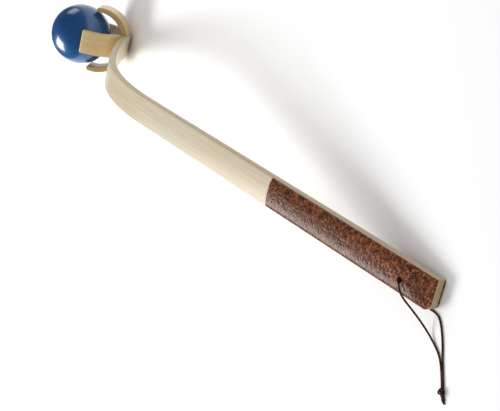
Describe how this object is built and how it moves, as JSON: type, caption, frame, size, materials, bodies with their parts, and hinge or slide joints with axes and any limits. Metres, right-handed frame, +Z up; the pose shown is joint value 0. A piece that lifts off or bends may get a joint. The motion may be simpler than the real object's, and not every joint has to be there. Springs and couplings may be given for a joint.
{
  "type": "wooden ball launcher",
  "caption": "Long bent wooden strip with a cork grip and a wrist cord at one end and a springy claw at the other that holds a smooth ball; throws the ball or rolls it over the body.",
  "frame": {"origin": "on the table under the middle of the whole part, midway between the ball's far side and the butt", "axes": "+X along the part from the ball to the butt, +Y across the strip, +Z up from the table on which the part lies on its back"},
  "size_m": [0.7039, 0.0959, 0.0837],
  "materials": {
    "pale_ash": "satin lacquer",
    "brown_cork": "smooth moulded cork composite, semi-gloss",
    "blue_rubber": "gloss",
    "dark_leather": "matt round lace"
  },
  "bodies": {
    "launcher": {"handle_strip": "pale_ash", "front_finger": "pale_ash", "side_fingers": "pale_ash", "front_grip_pad": "brown_cork", "back_grip_pad": "brown_cork", "cord_front_strand": "dark_leather", "cord_back_strand": "dark_leather", "cord_knot": "dark_leather", "cord_tails": "dark_leather"},
    "ball": {"ball": "blue_rubber"}
  },
  "joints": [
    {"name": "ball_roll", "type": "hinge", "parent": "launcher", "child": "ball", "pos_m": [-0.30377, 0, 0.05019], "axis": [0, 1, 0], "continuous": true}
  ]
}
